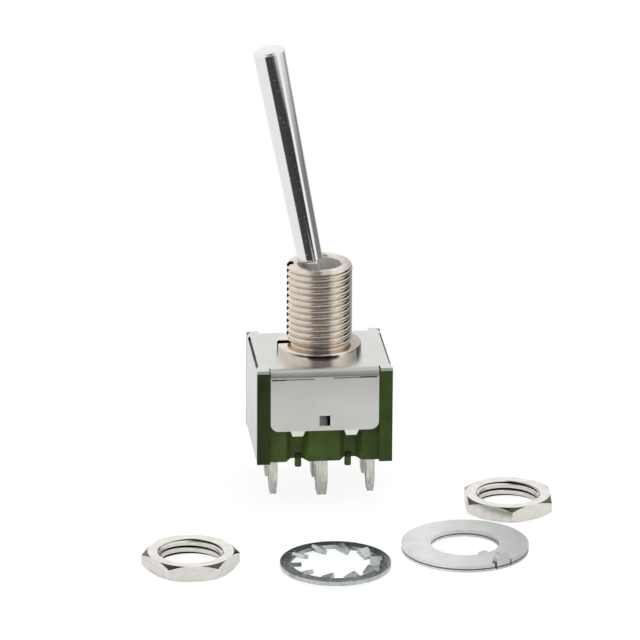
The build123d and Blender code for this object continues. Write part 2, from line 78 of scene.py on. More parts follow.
# Distances in metres within which two points are one
SPUN_WELD = 1e-8
FINISHED_WELD = 1e-7
CUT_WELD = 2e-7

# Node settings that are used more than once
PRODUCT = {"operation": "MULTIPLY"}
SUM_OF_PRODUCT = {"operation": "MULTIPLY_ADD"}
LESS = {"operation": "LESS_THAN"}
BLEND_COLOURS = {"data_type": "RGBA"}
MULTIPLY_COLOURS = {"data_type": "RGBA", "blend_type": "MULTIPLY"}

# Boxes on the pieces, each its lowest and highest corner in millimetres; all but the flange's mark where
# shade is painted
BUSHING_FLANGE = ((-5.0, -5.0, -1.6), (5.0, 5.0, 0.02))
SHADED_ROOTS = ((2.25, -2.2, 0.3), (3.2, 2.2, 7.7))
FLANGE_RIM = ((-3.6, -4.1, -0.4), (2.0, -1.8, -0.15))
FLANGE_END = ((3.35, -4.1, -0.9), (4.1, 0.0, -0.06))
KEYWAY = ((-4.1, -0.46, -0.95), (-2.5, 0.46, 8.1))
LATCH_WINDOW = ((-0.54, -5.68, -6.7), (0.54, -4.9, -5.4))

# Painted light and shade along X, each a place in millimetres and a share of full light; for the rim line,
# the strength of its painted shade
BUSHING_REACH = 4.0
BUSHING_LIGHT = ((-3.0, 1.0), (-1.8, 0.9), (-0.9, 0.72), (0.6, 0.7), (1.0, 1.0), (1.9, 1.0), (2.4, 0.75),
                 (3.0, 0.5))
RIM_LINE = ((-3.4, 0.0), (-2.2, 0.85), (0.6, 0.95), (1.8, 0.0))
CASE_REACH = 6.5
CASE_LIGHT = ((-6.5, 0.32), (-5.33, 0.4), (-5.07, 1.0), (-2.6, 1.0), (0.0, 0.9), (4.55, 0.72), (6.5, 0.65))

# Tones that the metal mirrors, each a bearing in degrees (0 is the front) and a brightness
WALL_TONES = ((-180, 0.92), (-40, 0.92), (-33, 0.06), (46, 0.04), (52, 1.0), (66, 1.0), (76, 0.22),
              (128, 0.2), (150, 0.75), (179, 0.92))
LOW_TONES = ((-180, 0.92), (-40, 0.92), (-33, 0.06), (20, 0.05), (32, 0.8), (40, 1.0), (58, 1.0), (68, 0.5),
             (80, 0.15), (120, 0.1), (150, 0.6), (179, 0.92))

# Tones of the roof, each a sideways part of the direction and a brightness
ROOF_REACH = 0.6
ROOF_TONES = ((-0.5, 1.0), (-0.25, 0.4), (-0.05, 0.1), (0.03, 0.2), (0.07, 0.9), (0.12, 0.95), (0.2, 0.95),
              (0.3, 1.0))

# The photograph's frame and the camera that was solved for it
PHOTO_PIXELS = 640
FOCAL_PIXELS = 6244.0
SHIFT_PIXELS = (-0.309, 0.056)
SENSOR_WIDTH = 36.0


def hex_colour(text):
    """An sRGB hex colour as the linear red, green, blue and alpha that a shader takes."""
    channels = [int(text[i:i + 2], 16) / 255 for i in (1, 3, 5)]
    linear = [c / 12.92 if c <= 0.04045 else ((c + 0.055) / 1.055) ** 2.4 for c in channels]
    return (*linear, 1.0)


def grey(value):
    """A grey of one linear value."""
    return (value, value, value, 1.0)


def darker(colour, share):
    """A colour with a share of its brightness."""
    return [channel * share for channel in colour[:3]] + [1.0]


def add_node(tree, kind, settings=None, inputs=None, links=None):
    """Add a shader node, set its properties and sockets, and link its inputs."""
    node = tree.nodes.new(kind)
    for name, value in (settings or {}).items():
        setattr(node, name, value)
    for name, value in (inputs or {}).items():
        node.inputs[name].default_value = value
    for name, source in (links or {}).items():
        tree.links.new(source, node.inputs[name])
    return node


def set_ramp(node, stops):
    """Give a colour ramp its stops, each a place and a colour."""
    ramp = node.color_ramp
    while len(ramp.elements) > 1:
        ramp.elements.remove(ramp.elements[-1])
    ramp.elements[0].position = stops[0][0]
    ramp.elements[0].color = stops[0][1]
    for place, colour in stops[1:]:
        element = ramp.elements.new(place)
        element.color = colour


def centred_stops(reach, stops):
    """Ramp stops from places that lie up to a reach on each side of the middle."""
    return [((place / reach + 1) / 2, colour) for place, colour in stops]


def grey_stops(tones):
    """Stops of grey from a place and a value each."""
    return [(place, grey(value)) for place, value in tones]


def ramp_along_x(tree, coords, reach, stops):
    """A colour that changes along X, from stops that are placed in millimetres."""
    parts = add_node(tree, "ShaderNodeSeparateXYZ", links={"Vector": coords})
    across = add_node(tree, "ShaderNodeMapRange", inputs={"From Min": -reach * MM, "From Max": reach * MM},
                      links={"Value": parts.outputs["X"]})
    ramp = add_node(tree, "ShaderNodeValToRGB", links={"Fac": across.outputs["Result"]})
    set_ramp(ramp, centred_stops(reach, stops))
    return ramp.outputs["Color"]


def box_mask(tree, coords, low, high):
    """One inside a box of Object coordinates in millimetres and nothing outside it."""
    parts = add_node(tree, "ShaderNodeSeparateXYZ", links={"Vector": coords})
    mask = None
    for axis, bottom, top in zip("XYZ", low, high):
        near = add_node(tree, "ShaderNodeMath", {"operation": "COMPARE"},
                        {1: (bottom + top) / 2 * MM, 2: (top - bottom) / 2 * MM}, {0: parts.outputs[axis]})
        if mask is None:
            mask = near.outputs[0]
        else:
            mask = add_node(tree, "ShaderNodeMath", PRODUCT, links={0: mask, 1: near.outputs[0]}).outputs[0]
    return mask


def floor_layer(low, high):
    """A box over all that lies on the floor, between two heights above it in millimetres."""
    reach = 30.0
    return (-reach, -reach, FLOOR + low), (reach, reach, FLOOR + high)


def distance_from_axis(tree, coords, middle=(0.0, 0.0, 0.0)):
    """The distance from an upright axis through a point in metres."""
    moved = add_node(tree, "ShaderNodeVectorMath", {"operation": "SUBTRACT"}, {1: middle}, {0: coords})
    flat = add_node(tree, "ShaderNodeVectorMath", PRODUCT, {1: (1.0, 1.0, 0.0)}, {0: moved.outputs[0]})
    length = add_node(tree, "ShaderNodeVectorMath", {"operation": "LENGTH"}, links={0: flat.outputs[0]})
    return length.outputs["Value"]


def tint(tree, colour, mask, shade):
    """A colour that turns to a shade where a mask is one."""
    mix = add_node(tree, "ShaderNodeMix", BLEND_COLOURS, {"B": shade}, {"Factor": mask, "A": colour})
    return mix.outputs["Result"]


def blank_material(name):
    """A new material, with its principled shader joined to its output and its Object coordinates."""
    material = bpy.data.materials.new(name)
    material.use_nodes = True
    tree = material.node_tree
    tree.nodes.clear()
    shader = tree.nodes.new("ShaderNodeBsdfPrincipled")
    output = tree.nodes.new("ShaderNodeOutputMaterial")
    tree.links.new(shader.outputs["BSDF"], output.inputs["Surface"])
    coords = tree.nodes.new("ShaderNodeTexCoord").outputs["Object"]
    return material, tree, shader, coords


def join_surface(tree, shader, colour, rough, bump):
    """Link a finish's colour, roughness and bump to its shader."""
    tree.links.new(colour, shader.inputs["Base Color"])
    tree.links.new(rough.outputs["Result"], shader.inputs["Roughness"])
    tree.links.new(bump.outputs["Normal"], shader.inputs["Normal"])


def finish_object(name, bm, sharp_angle=30.0):
    """Turn a bmesh into a smooth object with crisp edges at the origin."""
    bmesh.ops.remove_doubles(bm, verts=bm.verts, dist=FINISHED_WELD)
    bmesh.ops.recalc_face_normals(bm, faces=bm.faces)
    mesh = bpy.data.meshes.new(name)
    bm.to_mesh(mesh)
    bm.free()
    mesh.shade_smooth()
    mesh.set_sharp_from_angle(angle=radians(sharp_angle))
    piece = bpy.data.objects.new(name, mesh)
    bpy.context.scene.collection.objects.link(piece)
    return piece


def turned_bmesh(outline, steps):
    """A bmesh turned about Z from a closed outline of radius and height in millimetres."""
    bm = bmesh.new()
    verts = [bm.verts.new((radius * MM, 0, height * MM)) for radius, height in outline]
    edges = [bm.edges.new((verts[i - 1], verts[i])) for i in range(len(verts))]
    bmesh.ops.spin(bm, geom=verts + edges, cent=(0, 0, 0), axis=(0, 0, 1), dvec=(0, 0, 0),
                   angle=2 * pi, steps=steps, use_merge=True, use_duplicate=False)
    bmesh.ops.remove_doubles(bm, verts=bm.verts, dist=SPUN_WELD)
    bmesh.ops.recalc_face_normals(bm, faces=bm.faces)
    return bm


def thread_groove_bmesh(root_radius, crest_radius, low, high, pitch, steps_per_turn):
    """The helical trough that a thread leaves, with a rounded root and rounded crests beside it."""
    bm = bmesh.new()
    half = pitch * 0.25
    middle = (root_radius + crest_radius) / 2
    swing = (crest_radius - root_radius) / 2
    outside = crest_radius + swing * 0.4
    sides = 5
    outline = [(middle - swing * cos(pi * i / sides), half * i / sides) for i in range(-sides, sides + 1)]
    outline += [(outside, half), (outside, -half)]
    verts = [bm.verts.new((radius * MM, 0, (low + height) * MM)) for radius, height in outline]
    edges = [bm.edges.new((verts[i - 1], verts[i])) for i in range(len(verts))]
    bm.faces.new(verts)
    turns = (high - low) / pitch
    steps = int(turns * steps_per_turn)
    climb = pitch * MM / steps_per_turn
    made = bmesh.ops.spin(bm, geom=verts + edges, cent=(0, 0, 0), axis=(0, 0, 1), dvec=(0, 0, climb),
                          angle=2 * pi * steps / steps_per_turn, steps=steps, use_merge=False,
                          use_duplicate=False)
    last = [item for item in made["geom_last"] if isinstance(item, bmesh.types.BMEdge)]
    bmesh.ops.contextual_create(bm, geom=last)
    bmesh.ops.remove_doubles(bm, verts=bm.verts, dist=SPUN_WELD)
    bmesh.ops.recalc_face_normals(bm, faces=bm.faces)
    return bm


def block_bmesh(low, high):
    """A box between two corners in millimetres."""
    bm = bmesh.new()
    made = bmesh.ops.create_cube(bm, size=1.0)
    size = Vector(high) - Vector(low)
    middle = (Vector(high) + Vector(low)) / 2
    bmesh.ops.scale(bm, vec=size * MM, verts=made["verts"])
    bmesh.ops.translate(bm, vec=middle * MM, verts=made["verts"])
    return bm


def cut(piece, tool_bmesh, operation="DIFFERENCE"):
    """Cut or trim a piece with a solid, and drop the solid."""
    mesh = bpy.data.meshes.new("cutting_solid")
    tool_bmesh.to_mesh(mesh)
    tool_bmesh.free()
    tool = bpy.data.objects.new("cutting_solid", mesh)
    bpy.context.scene.collection.objects.link(tool)
    modifier = piece.modifiers.new("cut", "BOOLEAN")
    modifier.operation = operation
    modifier.solver = "MANIFOLD"
    modifier.object = tool
    bpy.context.view_layer.update()
    graph = bpy.context.evaluated_depsgraph_get()
    result = bpy.data.meshes.new_from_object(piece.evaluated_get(graph))
    if not result.polygons:
        raise RuntimeError(f"a cut left nothing of {piece.name}")
    piece.modifiers.clear()
    old = piece.data
    piece.data = result
    bpy.data.meshes.remove(old)
    bpy.data.objects.remove(tool)
    bpy.data.meshes.remove(mesh)


def crisp(piece, angle):
    """Shade a piece smooth with sharp edges past an angle."""
    bm = bmesh.new()
    bm.from_mesh(piece.data)
    bmesh.ops.remove_doubles(bm, verts=bm.verts, dist=CUT_WELD)
    bmesh.ops.recalc_face_normals(bm, faces=bm.faces)
    bm.to_mesh(piece.data)
    bm.free()
    piece.data.shade_smooth()
    piece.data.set_sharp_from_angle(angle=radians(angle))


def dress(node_names, material):
    """Give CAD nodes a material."""
    for name in node_names:
        node = frame["nodes"][name]
        node.data.materials.clear()
        node.data.materials.append(material)


def place_piece(piece, material, body, slot, *nodes):
    """Give a new piece its material, its body and the nodes that it stands for."""
    piece.data.materials.clear()
    piece.data.materials.append(material)
    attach(piece, body)
    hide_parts(*nodes)


# Materials, each named for the real one

def chrome_plated_brass(colours):
    """Chrome plate over polished brass: a mirror with fine pits that sparkle in its dark reflections."""
    material, tree, shader, coords = blank_material("chrome_plated_brass")
    pits = add_node(tree, "ShaderNodeTexNoise", inputs={"Scale": 1 / (0.22 * MM), "Detail": 3.0},
                    links={"Vector": coords})
    wave = add_node(tree, "ShaderNodeTexNoise", inputs={"Scale": 1 / (1.2 * MM), "Detail": 2.0},
                    links={"Vector": coords})
    rough = add_node(tree, "ShaderNodeMapRange",
                     inputs={"From Min": 0.62, "From Max": 0.72, "To Min": 0.055, "To Max": 0.4},
                     links={"Value": pits.outputs["Fac"]})
    height = add_node(tree, "ShaderNodeMath", SUM_OF_PRODUCT, {1: 0.35},
                      {0: pits.outputs["Fac"], 2: wave.outputs["Fac"]})
    bump = add_node(tree, "ShaderNodeBump", inputs={"Strength": 0.12, "Distance": 0.02 * MM},
                    links={"Height": height.outputs[0]})
    shader.inputs["Base Color"].default_value = colours.lever
    shader.inputs["Metallic"].default_value = 1.0
    tree.links.new(rough.outputs["Result"], shader.inputs["Roughness"])
    tree.links.new(bump.outputs["Normal"], shader.inputs["Normal"])
    return material


def turned_nickel(name, base, roughness):
    """Nickel plate over turned brass: fine rings left by the tool, and a soft gloss."""
    material, tree, shader, coords = blank_material(name)
    ring_scale = (1 / (1.6 * MM), 1 / (1.6 * MM), 1 / (0.09 * MM))
    stretched = add_node(tree, "ShaderNodeMapping", inputs={"Scale": ring_scale}, links={"Vector": coords})
    rings = add_node(tree, "ShaderNodeTexNoise", inputs={"Scale": 1.0, "Detail": 4.0},
                     links={"Vector": stretched.outputs[0]})
    cloud = add_node(tree, "ShaderNodeTexNoise", inputs={"Scale": 1 / (0.7 * MM), "Detail": 4.0},
                     links={"Vector": coords})
    tone = add_node(tree, "ShaderNodeValToRGB", links={"Fac": cloud.outputs["Fac"]})
    set_ramp(tone, [(0.3, darker(base, 0.86)), (0.7, base)])
    rough = add_node(tree, "ShaderNodeMapRange",
                     inputs={"To Min": roughness - 0.06, "To Max": roughness + 0.1},
                     links={"Value": rings.outputs["Fac"]})
    bump = add_node(tree, "ShaderNodeBump", inputs={"Strength": 0.18, "Distance": 0.02 * MM},
                    links={"Height": rings.outputs["Fac"]})
    join_surface(tree, shader, tone.outputs["Color"], rough, bump)
    return material, tree, shader, coords, tone.outputs["Color"]


def nickel_plated_brass(colours):
    """Warm nickel plate on the bushing, with the photograph's light and shade painted across it."""
    made = turned_nickel("nickel_plated_brass", colours.bushing, 0.14)
    material, tree, shader, coords, colour = made
    radius = distance_from_axis(tree, coords)

    # The bore is painted paler, as painted light, and is less of a mirror, so that it doesn't turn black
    bore_wall = {"From Min": 2.12 * MM, "From Max": 2.16 * MM}
    barrel = add_node(tree, "ShaderNodeMapRange", inputs={**bore_wall, "To Min": 0.2, "To Max": 0.8},
                      links={"Value": radius})
    metallic = add_node(tree, "ShaderNodeMath", {"operation": "MAXIMUM"},
                        links={0: barrel.outputs["Result"], 1: box_mask(tree, coords, *BUSHING_FLANGE)})
    bore = add_node(tree, "ShaderNodeMapRange", inputs={**bore_wall, "To Min": 1.0, "To Max": 0.0},
                    links={"Value": radius})
    # Painted light and shade along X, multiplied into the colour
    light = ramp_along_x(tree, coords, BUSHING_REACH, grey_stops(BUSHING_LIGHT))
    lit = add_node(tree, "ShaderNodeMix", MULTIPLY_COLOURS, {"Factor": 1.0}, {"A": colour, "B": light})
    colour = tint(tree, lit.outputs["Result"], bore.outputs["Result"], hex_colour("#f2efe9"))

    # Painted shade in the thread roots at the right and in the keyway, and a painted dark reflection as a
    # line on the flange's rim and over its end
    root = add_node(tree, "ShaderNodeMapRange",
                    inputs={"From Min": 3.0 * MM, "From Max": 3.08 * MM, "To Min": 1.0, "To Max": 0.0},
                    links={"Value": radius})
    shaded = add_node(tree, "ShaderNodeMath", PRODUCT,
                      links={0: root.outputs["Result"], 1: box_mask(tree, coords, *SHADED_ROOTS)})
    colour = tint(tree, colour, shaded.outputs[0], hex_colour("#2d2a26"))
    strength = ramp_along_x(tree, coords, BUSHING_REACH, grey_stops(RIM_LINE))
    line = add_node(tree, "ShaderNodeMath", PRODUCT,
                    links={0: strength, 1: box_mask(tree, coords, *FLANGE_RIM)})
    colour = tint(tree, colour, line.outputs[0], hex_colour("#38332c"))
    colour = tint(tree, colour, box_mask(tree, coords, *FLANGE_END), hex_colour("#35332e"))
    colour = tint(tree, colour, box_mask(tree, coords, *KEYWAY), hex_colour("#2a2723"))
    tree.links.new(metallic.outputs[0], shader.inputs["Metallic"])
    tree.links.new(colour, shader.inputs["Base Color"])
    return material


def shaded_nut(tree, coords, colour, name_of_nut):
    """A colour with painted shade in one nut's thread roots and a painted dark reflection on its chamfers."""
    low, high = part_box(name_of_nut)
    middle = ((low[0] + high[0]) / 2, (low[1] + high[1]) / 2, 0.0)
    radius = distance_from_axis(tree, coords, middle)
    # Painted shade in the thread roots of the bore
    root = add_node(tree, "ShaderNodeMapRange", inputs={"From Min": 2.95 * MM, "From Max": 3.08 * MM},
                    links={"Value": radius})
    inside = add_node(tree, "ShaderNodeMath", LESS, {1: 3.2 * MM}, {0: radius})
    deep = add_node(tree, "ShaderNodeMath", PRODUCT, links={0: root.outputs["Result"], 1: inside.outputs[0]})
    bore_wall = box_mask(tree, coords, *floor_layer(0.08, 1.44))
    shown = add_node(tree, "ShaderNodeMath", PRODUCT, links={0: deep.outputs[0], 1: bore_wall})
    colour = tint(tree, colour, shown.outputs[0], hex_colour("#38332e"))

    # Past this level of height plus a share of the radius, the face is the upper chamfer's cone
    cone_slope = 0.58
    cone_level = 3.845 * MM + FLOOR_Z
    nut_reach = 5.5 * MM
    height = add_node(tree, "ShaderNodeSeparateXYZ", links={"Vector": coords})
    cone = add_node(tree, "ShaderNodeMath", SUM_OF_PRODUCT, {1: cone_slope},
                    {0: radius, 2: height.outputs["Z"]})
    near = add_node(tree, "ShaderNodeMath", LESS, {1: nut_reach}, {0: radius})
    above = add_node(tree, "ShaderNodeMath", {"operation": "GREATER_THAN"}, {1: cone_level},
                     {0: cone.outputs[0]})
    edge = add_node(tree, "ShaderNodeMath", PRODUCT, links={0: above.outputs[0], 1: near.outputs[0]})
    # A painted dark reflection on the upper chamfer
    return tint(tree, colour, edge.outputs[0], hex_colour("#5b5954"))


def bright_nickel_plate(colours):
    """Nickel plate on the nuts, with painted shade in the thread roots and a painted dark reflection on the
    chamfers.
    """
    made = turned_nickel("bright_nickel_plate", colours.nut, 0.17)
    material, tree, shader, coords, colour = made
    for name_of_nut in ("hex_nut_left", "hex_nut_right"):
        colour = shaded_nut(tree, coords, colour, name_of_nut)
    shader.inputs["Metallic"].default_value = 1.0
    tree.links.new(colour, shader.inputs["Base Color"])
    return material


def shaded_cover(tree, coords, colour):
    """A colour with painted shade in the cover's bend slots, crease and latch window, and painted light on
    its flaps.
    """
    black = hex_colour("#0c0d0b")
    slot_near, slot_far = 6.27, 6.51
    slot_low, slot_high = -1.125, -0.905
    slot_end, slot_fade = 4.4, -1.9
    # Painted shade in both bend slots: black at the back, grey at the front
    for side in (-1, 1):
        left, right = sorted((side * slot_near, side * slot_far))
        dark = box_mask(tree, coords, (left, slot_fade, slot_low), (right, slot_end, slot_high))
        colour = tint(tree, colour, dark, black)
        faint = box_mask(tree, coords, (left, -slot_end, slot_low), (right, slot_fade, slot_high))
        colour = tint(tree, colour, faint, hex_colour("#4a4d45"))

    # Painted shade in the crease above the front flap, in four dashes that are dark at the ends
    crease_height = 0.13
    for left, right, low, shade in (
        (-5.1, -3.7, -1.93, "#3a3b37"),
        (-3.7, -1.0, -1.92, "#8b8c87"),
        (0.8, 3.3, -1.85, "#8b8c87"),
        (3.3, 5.0, -1.83, "#3a3b37"),
    ):
        crease = box_mask(tree, coords, (left, -5.8, low), (right, -5.6, low + crease_height))
        colour = tint(tree, colour, crease, hex_colour(shade))

    # Both flaps get painted light, lighter than the top
    flap_light = 1.3
    for side in (-1, 1):
        back, face = sorted((side * 5.3, side * 5.8))
        flap = box_mask(tree, coords, (-5.3, back, -7.8), (5.3, face, -1.7))
        lighter = add_node(tree, "ShaderNodeMix", MULTIPLY_COLOURS, {"B": grey(flap_light)},
                           {"Factor": flap, "A": colour})
        colour = lighter.outputs["Result"]

    # Painted shade through the latch window: the light falls off to the right
    window_reach = 0.52
    window_light = [(-0.52, hex_colour("#a9a9a5")), (0.104, hex_colour("#8a8a86")), (0.312, black)]
    shade = ramp_along_x(tree, coords, window_reach, window_light)
    window = add_node(tree, "ShaderNodeMix", BLEND_COLOURS,
                      links={"Factor": box_mask(tree, coords, *LATCH_WINDOW), "A": colour, "B": shade})
    return window.outputs["Result"]


def rolled_stainless(colours):
    """Cold-rolled stainless sheet: a pale satin with a faint fine grain and small handling marks, with
    painted light and shade added by the cover's shading.
    """
    material, tree, shader, coords = blank_material("rolled_stainless")
    grain = add_node(tree, "ShaderNodeTexNoise", inputs={"Scale": 1 / (0.16 * MM), "Detail": 3.0},
                     links={"Vector": coords})
    cloud = add_node(tree, "ShaderNodeTexNoise", inputs={"Scale": 1 / (2.6 * MM), "Detail": 3.0},
                     links={"Vector": coords})
    tone = add_node(tree, "ShaderNodeValToRGB", links={"Fac": cloud.outputs["Fac"]})
    set_ramp(tone, [(0.3, darker(colours.cover, 0.93)), (0.7, colours.cover)])
    rough = add_node(tree, "ShaderNodeMapRange", inputs={"To Min": 0.24, "To Max": 0.38},
                     links={"Value": grain.outputs["Fac"]})
    height = add_node(tree, "ShaderNodeMath", SUM_OF_PRODUCT, {1: 0.1},
                      {0: grain.outputs["Fac"], 2: cloud.outputs["Fac"]})
    bump = add_node(tree, "ShaderNodeBump", inputs={"Strength": 0.25, "Distance": 0.03 * MM},
                    links={"Height": height.outputs[0]})
    shader.inputs["Metallic"].default_value = 1.0
    join_surface(tree, shader, shaded_cover(tree, coords, tone.outputs["Color"]), rough, bump)
    return material


def moulded_thermoset(colours):
    """Green moulding compound: dark and glossy where the mould was polished, with a faint flow mottle and
    painted light and shade along X and on the pegs' roots.
    """
    material, tree, shader, coords = blank_material("moulded_thermoset")
    flow = add_node(tree, "ShaderNodeTexNoise",
                    inputs={"Scale": 1 / (1.8 * MM), "Detail": 3.0, "Distortion": 0.4},
                    links={"Vector": coords})
    grit = add_node(tree, "ShaderNodeTexNoise", inputs={"Scale": 1 / (0.15 * MM), "Detail": 2.0},
                    links={"Vector": coords})
    tone = add_node(tree, "ShaderNodeValToRGB", links={"Fac": flow.outputs["Fac"]})
    set_ramp(tone, [(0.3, colours.case_dark), (0.7, colours.case)])
    rough = add_node(tree, "ShaderNodeMapRange", inputs={"To Min": 0.22, "To Max": 0.4},
                     links={"Value": grit.outputs["Fac"]})
    bump = add_node(tree, "ShaderNodeBump", inputs={"Strength": 0.2, "Distance": 0.02 * MM},
                    links={"Height": grit.outputs["Fac"]})
    shader.inputs["IOR"].default_value = 1.5
    shader.inputs["Specular IOR Level"].default_value = 0.2

    # The left column is in painted shadow and the painted light fades to the right, as in the photograph
    light = ramp_along_x(tree, coords, CASE_REACH, grey_stops(CASE_LIGHT))
    lit = add_node(tree, "ShaderNodeMix", MULTIPLY_COLOURS, {"Factor": 1.0},
                   {"A": tone.outputs["Color"], "B": light})
    colour = lit.outputs["Result"]

    # Painted shade on the pegs' roots, where they show in the grooves at the front
    peg_x, peg_half = 2.4, 0.34
    for side in (-1, 1):
        low = (side * peg_x - peg_half, -4.34, -10.38)
        high = (side * peg_x + peg_half, -4.14, -9.88)
        colour = tint(tree, colour, box_mask(tree, coords, low, high), hex_colour("#2a371f"))
    join_surface(tree, shader, colour, rough, bump)
    return material


def poured_epoxy():
    """Filled epoxy: nearly black, level where it set, with a soft sheen."""
    material, tree, shader, coords = blank_material("poured_epoxy")
    swell = add_node(tree, "ShaderNodeTexNoise", inputs={"Scale": 1 / (1.5 * MM), "Detail": 2.0},
                     links={"Vector": coords})
    tone = add_node(tree, "ShaderNodeValToRGB", links={"Fac": swell.outputs["Fac"]})
    set_ramp(tone, [(0.3, hex_colour("#2b2c28")), (0.7, hex_colour("#3f4038"))])
    bump = add_node(tree, "ShaderNodeBump", inputs={"Strength": 0.4, "Distance": 0.05 * MM},
                    links={"Height": swell.outputs["Fac"]})
    shader.inputs["Roughness"].default_value = 0.35
    tree.links.new(tone.outputs["Color"], shader.inputs["Base Color"])
    tree.links.new(bump.outputs["Normal"], shader.inputs["Normal"])
    return material


def silver_plated_brass(colours):
    """Silver plate over stamped brass: pale and slightly warm, with drawn streaks that glint."""
    material, tree, shader, coords = blank_material("silver_plated_brass")
    streak_scale = (1 / (0.16 * MM), 1 / (0.16 * MM), 1 / (1.1 * MM))
    drawn = add_node(tree, "ShaderNodeMapping", inputs={"Scale": streak_scale}, links={"Vector": coords})
    grain = add_node(tree, "ShaderNodeTexNoise", inputs={"Scale": 1.0, "Detail": 3.0},
                     links={"Vector": drawn.outputs[0]})
    tone = add_node(tree, "ShaderNodeValToRGB", links={"Fac": grain.outputs["Fac"]})
    set_ramp(tone, [(0.35, hex_colour("#cfcec6")), (0.6, colours.terminal)])
    rough = add_node(tree, "ShaderNodeMapRange", inputs={"To Min": 0.22, "To Max": 0.5},
                     links={"Value": grain.outputs["Fac"]})
    bump = add_node(tree, "ShaderNodeBump", inputs={"Strength": 0.35, "Distance": 0.03 * MM},
                    links={"Height": grain.outputs["Fac"]})
    shader.inputs["Metallic"].default_value = 1.0
    join_surface(tree, shader, tone.outputs["Color"], rough, bump)
    return material


def zinc_plated_steel(name, base, shadow, roughness):
    """Zinc plate over blanked steel: cool grey, with fine crystals that vary the gloss."""
    material, tree, shader, coords = blank_material(name)
    crystal = add_node(tree, "ShaderNodeTexNoise", inputs={"Scale": 1 / (0.25 * MM), "Detail": 4.0},
                       links={"Vector": coords})
    cloud = add_node(tree, "ShaderNodeTexNoise", inputs={"Scale": 1 / (1.6 * MM), "Detail": 3.0},
                     links={"Vector": coords})
    mix = add_node(tree, "ShaderNodeMath", SUM_OF_PRODUCT, {1: 0.6},
                   {0: crystal.outputs["Fac"], 2: cloud.outputs["Fac"]})
    tone = add_node(tree, "ShaderNodeValToRGB", links={"Fac": mix.outputs[0]})
    set_ramp(tone, [(0.55, shadow), (0.95, base)])
    rough = add_node(tree, "ShaderNodeMapRange",
                     inputs={"To Min": roughness - 0.1, "To Max": roughness + 0.12},
                     links={"Value": crystal.outputs["Fac"]})
    bump = add_node(tree, "ShaderNodeBump", inputs={"Strength": 0.35, "Distance": 0.03 * MM},
                    links={"Height": crystal.outputs["Fac"]})
    shader.inputs["Metallic"].default_value = 1.0
    join_surface(tree, shader, tone.outputs["Color"], rough, bump)
    return material, tree, shader, coords, tone.outputs["Color"]


def bright_zinc_plate():
    """Bright zinc plate on the lock washer: a cool near-mirror."""
    return zinc_plated_steel("bright_zinc_plate", hex_colour("#d0d4d6"), hex_colour("#9aa1a5"), 0.2)[0]


def matte_zinc_plate():
    """Matte zinc plate on the locking ring, with painted shade towards the right and a band of painted shade
    at one height round its edges.
    """
    made = zinc_plated_steel("matte_zinc_plate", hex_colour("#f4f6f3"), hex_colour("#e6eae5"), 0.42)
    material, tree, shader, coords, colour = made
    # Painted shade: the light falls off towards the right
    shade_start, shade_end, shaded_share = 8.0, 17.0, 0.62
    parts = add_node(tree, "ShaderNodeSeparateXYZ", links={"Vector": coords})
    light = add_node(tree, "ShaderNodeMapRange", inputs={
        "From Min": shade_start * MM, "From Max": shade_end * MM, "To Min": 1.0, "To Max": shaded_share,
    }, links={"Value": parts.outputs["X"]})
    lit = add_node(tree, "ShaderNodeMix", MULTIPLY_COLOURS, {"Factor": 1.0},
                   {"A": colour, "B": light.outputs["Result"]})
    # A band of painted shade at one height round all the ring's edges
    rim_shade = box_mask(tree, coords, *floor_layer(0.2, 0.34))
    colour = tint(tree, lit.outputs["Result"], rim_shade, hex_colour("#63655f"))
    tree.links.new(colour, shader.inputs["Base Color"])
    return material


def plain_metal(name, colour, roughness):
    """Small drawn or rolled metal parts inside the case, with a fine grain."""
    material, tree, shader, coords = blank_material(name)
    grain = add_node(tree, "ShaderNodeTexNoise", inputs={"Scale": 1 / (0.2 * MM), "Detail": 3.0},
                     links={"Vector": coords})
    rough = add_node(tree, "ShaderNodeMapRange",
                     inputs={"To Min": roughness - 0.08, "To Max": roughness + 0.12},
                     links={"Value": grain.outputs["Fac"]})
    shader.inputs["Base Color"].default_value = colour
    shader.inputs["Metallic"].default_value = 1.0
    tree.links.new(rough.outputs["Result"], shader.inputs["Roughness"])
    return material


def moulded_nylon():
    """Natural glass-filled nylon: off-white, dull, with a fine grain."""
    material, tree, shader, coords = blank_material("moulded_nylon")
    grain = add_node(tree, "ShaderNodeTexNoise", inputs={"Scale": 1 / (0.3 * MM), "Detail": 3.0},
                     links={"Vector": coords})
    tone = add_node(tree, "ShaderNodeValToRGB", links={"Fac": grain.outputs["Fac"]})
    set_ramp(tone, [(0.3, hex_colour("#d6d0c0")), (0.7, hex_colour("#e9e5d9"))])
    shader.inputs["Roughness"].default_value = 0.5
    tree.links.new(tone.outputs["Color"], shader.inputs["Base Color"])
    return material


# Sizes and colours that a user would change

class ToggleSizes(PropertyGroup):
    """Sizes of the pieces that are made here, in millimetres."""

    thread_pitch: FloatProperty(
        name="Thread pitch", description="Rise of the bushing's thread in one turn, mm", default=0.635)
    thread_crest: FloatProperty(
        name="Thread crest radius", description="Radius at the thread's crests, mm", default=3.14)
    thread_root: FloatProperty(
        name="Thread root radius", description="Radius at the thread's roots, mm", default=2.9)
    lever_tilt: FloatProperty(
        name="Lever tilt", description="Lean of the lever at rest, degrees", default=11.0)
    lever_reach: FloatProperty(
        name="Lever reach", description="Pivot to the lever's flat end, mm", default=26.1)
    pivot_height: FloatProperty(
        name="Pivot height", description="Panel seat to the lever's pivot, mm", default=3.7)
    nut_flats: FloatProperty(
        name="Nut across flats", description="Width of a nut between opposite flats, mm", default=8.0)
    nut_height: FloatProperty(
        name="Nut thickness", description="Thickness of a nut, mm", default=1.5)
    turning_steps: IntProperty(
        name="Turning steps", description="Facets round a turned piece", default=128)


